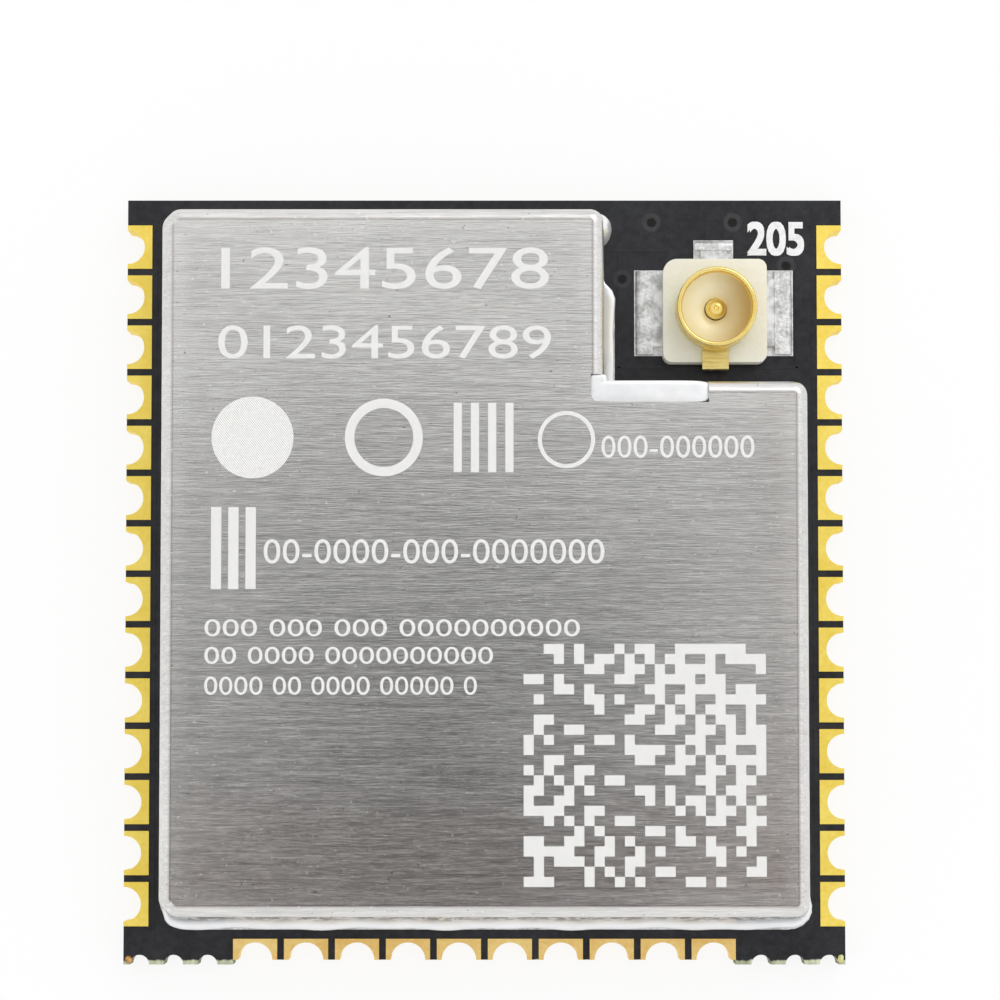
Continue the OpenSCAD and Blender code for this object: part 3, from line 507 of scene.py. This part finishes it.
# Aerial receptacle: a cream liquid-crystal polymer moulding round a drawn ring and a centre pin of gold-plated
# bronze. The plug's shell snaps over the ring.
cream = Finish("cream_moulding", Subsurface_Weight=0.15, Subsurface_Scale=0.4 * mm)
flow = cream.at.stretched(1, 1.6, 1).noise(900, 3)
cream.set({"Base Color": flow.rise(0.25, 0.75).mix((0.86, 0.83, 0.70), (0.92, 0.90, 0.79)),
           "Roughness": 0.38 + flow * 0.18})
cream.bump(cream.at.noise(6000, 3), 0.008 * mm)
dress("connector_housing", cream)
bowl_r, pin_r, tab_start = 0.855, 0.265, 1.27
bronze = Finish("plated_contact")
draw = bronze.at.noise(2600, 3)
rolled = bronze.at.stretched(0.1, 1, 1).noise(16000, 3)
from_pin = bronze.at.from_axis(socket_x * mm, socket_y * mm)
rim_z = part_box("connector_shell")[1].z
under_rim = 1 - bronze.at.axis("Z").rise(rim_z - 0.12 * mm, rim_z - 0.1 * mm)
bowl = (1 - from_pin.rise(bowl_r * mm, (bowl_r + 0.02) * mm)) * under_rim
dish = bowl * from_pin.rise(pin_r * mm, (pin_r + 0.005) * mm)
x_out = bronze.at.axis("X") - socket_x * mm
y_out = bronze.at.axis("Y") - socket_y * mm
low_down = 1 - bronze.at.axis("Z").rise((deck + 0.18) * mm, (deck + 0.2) * mm)
past_housing = x_out.sum("MAXIMUM", x_out.sum("ABSOLUTE", x_out), y_out)
wetted = low_down * past_housing.rise(tab_start * mm, (tab_start + 0.02) * mm)
plating = (draw * 0.5 + rolled * 0.5).rise(0.25, 0.75).mix((0.84, 0.62, 0.18), (0.95, 0.78, 0.32))
# Painted shade and painted reflection: the floor inside the ring runs from pale cream on its left to brown gold
# on its right.
shade = (x_out + draw * 0.2 * mm).rise(-0.3 * mm, 0.95 * mm)
plating = dish.mix(plating, shade.mix((0.94, 0.87, 0.62), (0.55, 0.38, 0.14)))
tinning = bronze.at.noise(3000, 4).rise(0.32, 0.66).mix((0.44, 0.44, 0.43), (0.86, 0.86, 0.86))
plating = wetted.mix(plating, tinning)
bronze.set({"Base Color": plating, "Metallic": 1 - dish * 0.6,
            "Roughness": 0.16 + draw * 0.16 + dish * 0.14 + wetted * 0.2})
bronze.bump(draw * 0.5 + rolled * 0.5, 0.006 * mm)
for name in ("connector_shell", "connector_pin"):
    dress(name, bronze)

# Printed position number: white epoxy ink, pressed through a stencil onto the solder mask beside the
# receptacle and baked.
ink = Finish("white_ink")
grain = ink.at.noise(7000, 3)
ink.set({"Base Color": grain.rise(0.2, 0.6).mix((0.72, 0.73, 0.74), (0.9, 0.9, 0.9)),
         "Roughness": 0.5 + grain * 0.2})
ink.bump(grain, 0.008 * mm)


def printed_number(shape):
    """The stencil's strokes run a little wide, so each figure is laid down four times, slightly apart and at
    slightly different heights."""
    spread, sunk, proud, step = 0.03, 0.004, 0.02, 0.001
    for k, (x, y) in enumerate(((-spread, -spread), (spread, -spread), (-spread, spread), (spread, spread))):
        base, top = deck - sunk - step * k, deck + proud + step * k
        figures(shape, "205", 6.66 + x, 8.22 + y, 8.04 + x, 9.03 + y, base, top)


new_piece("printed_number", printed_number, ink)

# Parts inside the can: moulded chips with tinned terminals, a ceramic crystal with a plated lid, and small
# ceramic chip parts with tinned ends, all soldered to gold lands.
moulding = Finish("black_moulding")
grit = moulding.at.noise(7000, 4)
moulding.set({"Base Color": grit.rise(0.3, 0.7).mix((0.02, 0.02, 0.022), (0.05, 0.05, 0.054)),
              "Roughness": 0.55 + grit * 0.2})
moulding.bump(grit, 0.012 * mm)
for name in ("main_chip_body", "flash_body"):
    dress(name, moulding)
tin = Finish("tin_plating", Metallic=1.0)
grit = tin.at.noise(5000, 3)
tin.set({"Base Color": grit.rise(0.3, 0.7).mix((0.62, 0.62, 0.61), (0.78, 0.78, 0.77)),
         "Roughness": 0.32 + grit * 0.2})
tin.bump(grit, 0.01 * mm)
for name in ("main_chip_terminals", "flash_leads", "crystal_lid", "capacitor_ends", "resistor_ends",
             "inductor_ends"):
    dress(name, tin)
for name, node, dark, light in (("brown_ceramic", "crystal_base", (0.22, 0.17, 0.12), (0.34, 0.28, 0.2)),
                                ("tan_ceramic", "capacitor_bodies", (0.42, 0.28, 0.17), (0.55, 0.4, 0.26)),
                                ("white_ceramic", "resistor_bodies", (0.74, 0.74, 0.71), (0.88, 0.88, 0.86)),
                                ("black_glaze", "resistor_films", (0.01, 0.01, 0.012), (0.03, 0.03, 0.034)),
                                ("blue_ceramic", "inductor_bodies", (0.44, 0.54, 0.62), (0.6, 0.69, 0.75))):
    ceramic = Finish(name)
    grit = ceramic.at.noise(4200, 4)
    ceramic.set({"Base Color": grit.rise(0.3, 0.7).mix(dark, light), "Roughness": 0.4 + grit * 0.25})
    ceramic.bump(grit, 0.01 * mm)
    dress(node, ceramic)

# Studio: a white table in a white light tent with a dark round opening overhead, and one soft box beyond the
# receptacle's end.
table = Finish("white_table", Roughness=0.8, Specular_IOR_Level=0.2)
table.set({"Base Color": table.at.noise(30, 2).mix((0.93, 0.93, 0.93), (0.95, 0.95, 0.95))})
glow = table.at.node("Emission", None, {"Color": (1, 1, 1, 1), "Strength": 1.0})
seen, *others = [table.at.node("LightPath", None, None, ray)
                 for ray in ("Is Camera Ray", "Is Glossy Ray", "Is Transmission Ray")]
for other in others:
    seen = seen.sum("MAXIMUM", seen, other)
glow_share = 0.85
surface = Signal(table.tree, table.shader.outputs["BSDF"])
lit = table.at.node("MixShader", None, {0: seen * glow_share, 1: surface, 2: glow})
table.tree.links.new(lit.socket, table.tree.nodes["Material Output"].inputs["Surface"])


def table_top(shape):
    half, thick = 900, 10
    slab(shape, -half, -half, half, half, -thick, 0)


new_piece("table", table_top, table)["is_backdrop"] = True
room = bpy.data.worlds.new("room")
bpy.context.scene.world = room
room.use_nodes = True
sky = Signal(room.node_tree, room.node_tree.nodes.new("ShaderNodeTexCoord").outputs["Generated"])
opening_way, opening_edge, opening_middle = (-0.012, -0.035, 0.999), 0.976, 0.998
overhead = sky.node("VectorMath", {"operation": "DOT_PRODUCT"}, {0: sky, 1: opening_way}, "Value")
tent = overhead.rise(opening_edge, opening_middle).mix((0.98, 0.98, 0.98), (0.015, 0.015, 0.015))
room.node_tree.links.new(tent.socket, room.node_tree.nodes["Background"].inputs["Color"])
room.node_tree.nodes["Background"].inputs["Strength"].default_value = 1.0

lamp = bpy.data.lights.new("key_box", "AREA")
lamp.shape, lamp.size, lamp.size_y, lamp.energy = "RECTANGLE", 0.2, 0.2, 0.26
key_box = bpy.data.objects.new("key_box", lamp)
bpy.context.collection.objects.link(key_box)
key_box.location = (0.16, 0.24, 0.3)
key_box.rotation_mode = "QUATERNION"
lid_middle = Vector((0, 0, 2 * mm))
key_box.rotation_quaternion = (key_box.location - lid_middle).to_track_quat("Z", "Y")

camera = bpy.data.cameras.new("camera")
camera.lens, camera.sensor_width = 107.4, 36
camera.shift_x, camera.shift_y = 0.0156, 0.08
camera.clip_start, camera.clip_end = 0.002, 5
eye_back, eye_high, aim_high = 4, 75.6, 0.8
eye = bpy.data.objects.new("camera", camera)
bpy.context.collection.objects.link(eye)
eye.location = (0, -eye_back * mm, eye_high * mm)
eye.rotation_euler = (math.atan(eye_back / (eye_high - aim_high)), 0, 0)
bpy.context.scene.camera = eye
bpy.context.scene.view_settings.view_transform = "Standard"

low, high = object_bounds()
